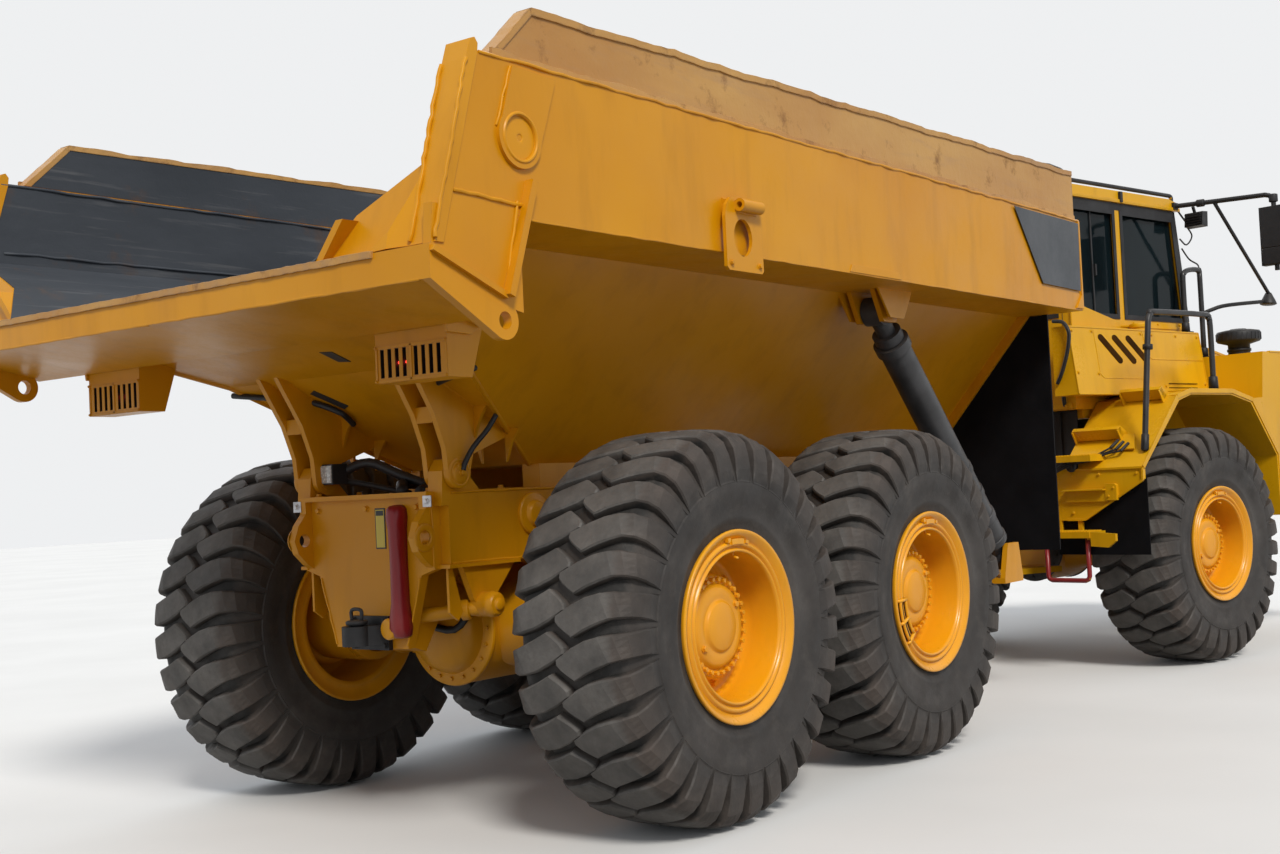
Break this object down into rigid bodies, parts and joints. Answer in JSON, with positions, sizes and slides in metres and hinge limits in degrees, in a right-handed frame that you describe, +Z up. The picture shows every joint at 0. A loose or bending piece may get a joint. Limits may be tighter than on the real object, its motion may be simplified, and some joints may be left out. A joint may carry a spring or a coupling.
{
  "type": "articulated dump truck",
  "caption": "Six-wheel articulated dump truck with a tipping bed, pivoting front unit, enclosed cab and twin side hoist cylinders.",
  "frame": {"origin": "centre of the footprint's bounding box on the ground, with the front unit turned 12 degrees to the right as parked", "axes": "+X is forward along the rear unit's centreline, +Y is the machine's left, +Z is up"},
  "size_m": [10.4554, 3.5959, 3.3669],
  "materials": {
    "bed_paint": "satin",
    "board_steel": "worn matt",
    "cab_paint": "semi-gloss",
    "rim_paint": "semi-gloss",
    "red_paint": "semi-gloss",
    "dark_paint": "satin",
    "cast_dark": "rough",
    "rod_steel": "polished",
    "tyre": "matt",
    "flap_rubber": "matt",
    "glass": "tinted",
    "lamp_glass": "gloss",
    "seat_fabric": "matt",
    "black_plastic": "matt"
  },
  "bodies": {
    "rear_unit": {"rear_frame": "bed_paint", "bogie_axles": "bed_paint", "bogie_beams": "bed_paint", "tow_coupling": "cast_dark", "lock_bar": "red_paint"},
    "bed": {"bed": "bed_paint", "side_boards": "board_steel", "lamp_boxes": "bed_paint", "stone_flaps": "flap_rubber"},
    "hoist_barrels": {"hoist_barrels": "dark_paint"},
    "hoist_sleeves": {"hoist_sleeves": "rod_steel"},
    "hoist_rods": {"hoist_rods": "rod_steel"},
    "hitch": {"hitch_yoke": "bed_paint"},
    "front_unit": {"front_frame": "cab_paint", "front_axle": "bed_paint", "engine": "dark_paint", "cab_frame": "cab_paint", "cab_roof": "cab_paint", "cab_glass": "glass", "seat": "seat_fabric", "dashboard": "black_plastic", "grille": "black_plastic", "bumper": "cab_paint", "fenders": "cab_paint", "side_boxes": "cab_paint", "handrails": "dark_paint", "mirrors": "black_plastic", "steps": "cab_paint", "lamps": "lamp_glass", "air_intake": "black_plastic"},
    "door": {"door": "cab_paint", "door_glass": "glass"},
    "hood": {"hood": "cab_paint"},
    "steer_barrel_left": {"steer_barrel_left": "dark_paint"},
    "steer_rod_left": {"steer_rod_left": "rod_steel"},
    "steer_barrel_right": {"steer_barrel_right": "dark_paint"},
    "steer_rod_right": {"steer_rod_right": "rod_steel"},
    "wheel_rear_left": {"tyre_rear_left": "tyre", "rim_rear_left": "rim_paint"},
    "wheel_rear_right": {"tyre_rear_right": "tyre", "rim_rear_right": "rim_paint"},
    "wheel_mid_left": {"tyre_mid_left": "tyre", "rim_mid_left": "rim_paint"},
    "wheel_mid_right": {"tyre_mid_right": "tyre", "rim_mid_right": "rim_paint"},
    "wheel_front_left": {"tyre_front_left": "tyre", "rim_front_left": "rim_paint"},
    "wheel_front_right": {"tyre_front_right": "tyre", "rim_front_right": "rim_paint"}
  },
  "joints": [
    {"name": "hitch_roll", "type": "hinge", "parent": "rear_unit", "child": "hitch", "pos_m": [0.76525, 0.25999, 0.88], "axis": [1, 0, 0], "range_deg": [-20, 20]},
    {"name": "steer", "type": "hinge", "parent": "hitch", "child": "front_unit", "pos_m": [1.09525, 0.25999, 0.88], "axis": [0, 0, 1], "range_deg": [-33, 57]},
    {"name": "bed_tip", "type": "hinge", "parent": "rear_unit", "child": "bed", "pos_m": [-4.13975, 0.25999, 1.47], "axis": [0, -1, 0], "range_deg": [0, 70]},
    {"name": "hoist_foot", "type": "hinge", "parent": "rear_unit", "child": "hoist_barrels", "pos_m": [-0.53975, 0.25999, 0.88], "axis": [0, -1, 0], "range_deg": [-1, 7]},
    {"name": "hoist_stage", "type": "slide", "parent": "hoist_barrels", "child": "hoist_sleeves", "axis": [-0.703, 0, 0.7112], "range_m": [0, 1.385]},
    {"name": "hoist_rod", "type": "slide", "parent": "hoist_sleeves", "child": "hoist_rods", "axis": [-0.703, 0, 0.7112], "range_m": [0, 1.385]},
    {"name": "steer_foot_left", "type": "hinge", "parent": "front_unit", "child": "steer_barrel_left", "pos_m": [2.09372, 0.43624, 0.88], "axis": [0, 0, 1], "range_deg": [-8, 8]},
    {"name": "steer_rod_left", "type": "slide", "parent": "steer_barrel_left", "child": "steer_rod_left", "axis": [-0.9978, 0.0658, 0], "range_m": [-0.26, 0.16]},
    {"name": "steer_foot_right", "type": "hinge", "parent": "front_unit", "child": "steer_barrel_right", "pos_m": [1.93571, -0.30715, 0.88], "axis": [0, 0, 1], "range_deg": [-8, 8]},
    {"name": "steer_rod_right", "type": "slide", "parent": "steer_barrel_right", "child": "steer_rod_right", "axis": [-0.9496, 0.3135, 0], "range_m": [-0.16, 0.26]},
    {"name": "door", "type": "hinge", "parent": "front_unit", "child": "door", "pos_m": [2.41205, 0.77956, 2.4], "axis": [0, 0, 1], "range_deg": [0, 90]},
    {"name": "hood", "type": "hinge", "parent": "front_unit", "child": "hood", "pos_m": [4.93839, -0.5569, 1.6], "axis": [0.2079, 0.9781, 0], "range_deg": [0, 65]},
    {"name": "wheel_rear_left", "type": "hinge", "parent": "rear_unit", "child": "wheel_rear_left", "pos_m": [-3.53975, 1.38899, 0.8], "axis": [0, 1, 0], "continuous": true},
    {"name": "wheel_rear_right", "type": "hinge", "parent": "rear_unit", "child": "wheel_rear_right", "pos_m": [-3.53975, -0.86901, 0.8], "axis": [0, 1, 0], "continuous": true},
    {"name": "wheel_mid_left", "type": "hinge", "parent": "rear_unit", "child": "wheel_mid_left", "pos_m": [-1.86975, 1.38899, 0.8], "axis": [0, 1, 0], "continuous": true},
    {"name": "wheel_mid_right", "type": "hinge", "parent": "rear_unit", "child": "wheel_mid_right", "pos_m": [-1.86975, -0.86901, 0.8], "axis": [0, 1, 0], "continuous": true},
    {"name": "wheel_front_left", "type": "hinge", "parent": "front_unit", "child": "wheel_front_left", "pos_m": [2.51354, 1.11274, 0.8], "axis": [0.2079, 0.9781, 0], "continuous": true},
    {"name": "wheel_front_right", "type": "hinge", "parent": "front_unit", "child": "wheel_front_right", "pos_m": [2.04408, -1.09592, 0.8], "axis": [0.2079, 0.9781, 0], "continuous": true}
  ],
  "couplings": [
    {"joint": "hoist_foot", "follows": "bed_tip", "ratio": 0.067013},
    {"joint": "hoist_stage", "follows": "bed_tip", "m_per_rad": 1.1279},
    {"joint": "hoist_rod", "follows": "bed_tip", "m_per_rad": 1.1279},
    {"joint": "steer_foot_left", "follows": "steer", "ratio": -0.0772},
    {"joint": "steer_rod_left", "follows": "steer", "m_per_rad": -0.247},
    {"joint": "steer_foot_right", "follows": "steer", "ratio": -0.0769},
    {"joint": "steer_rod_right", "follows": "steer", "m_per_rad": 0.2461}
  ]
}
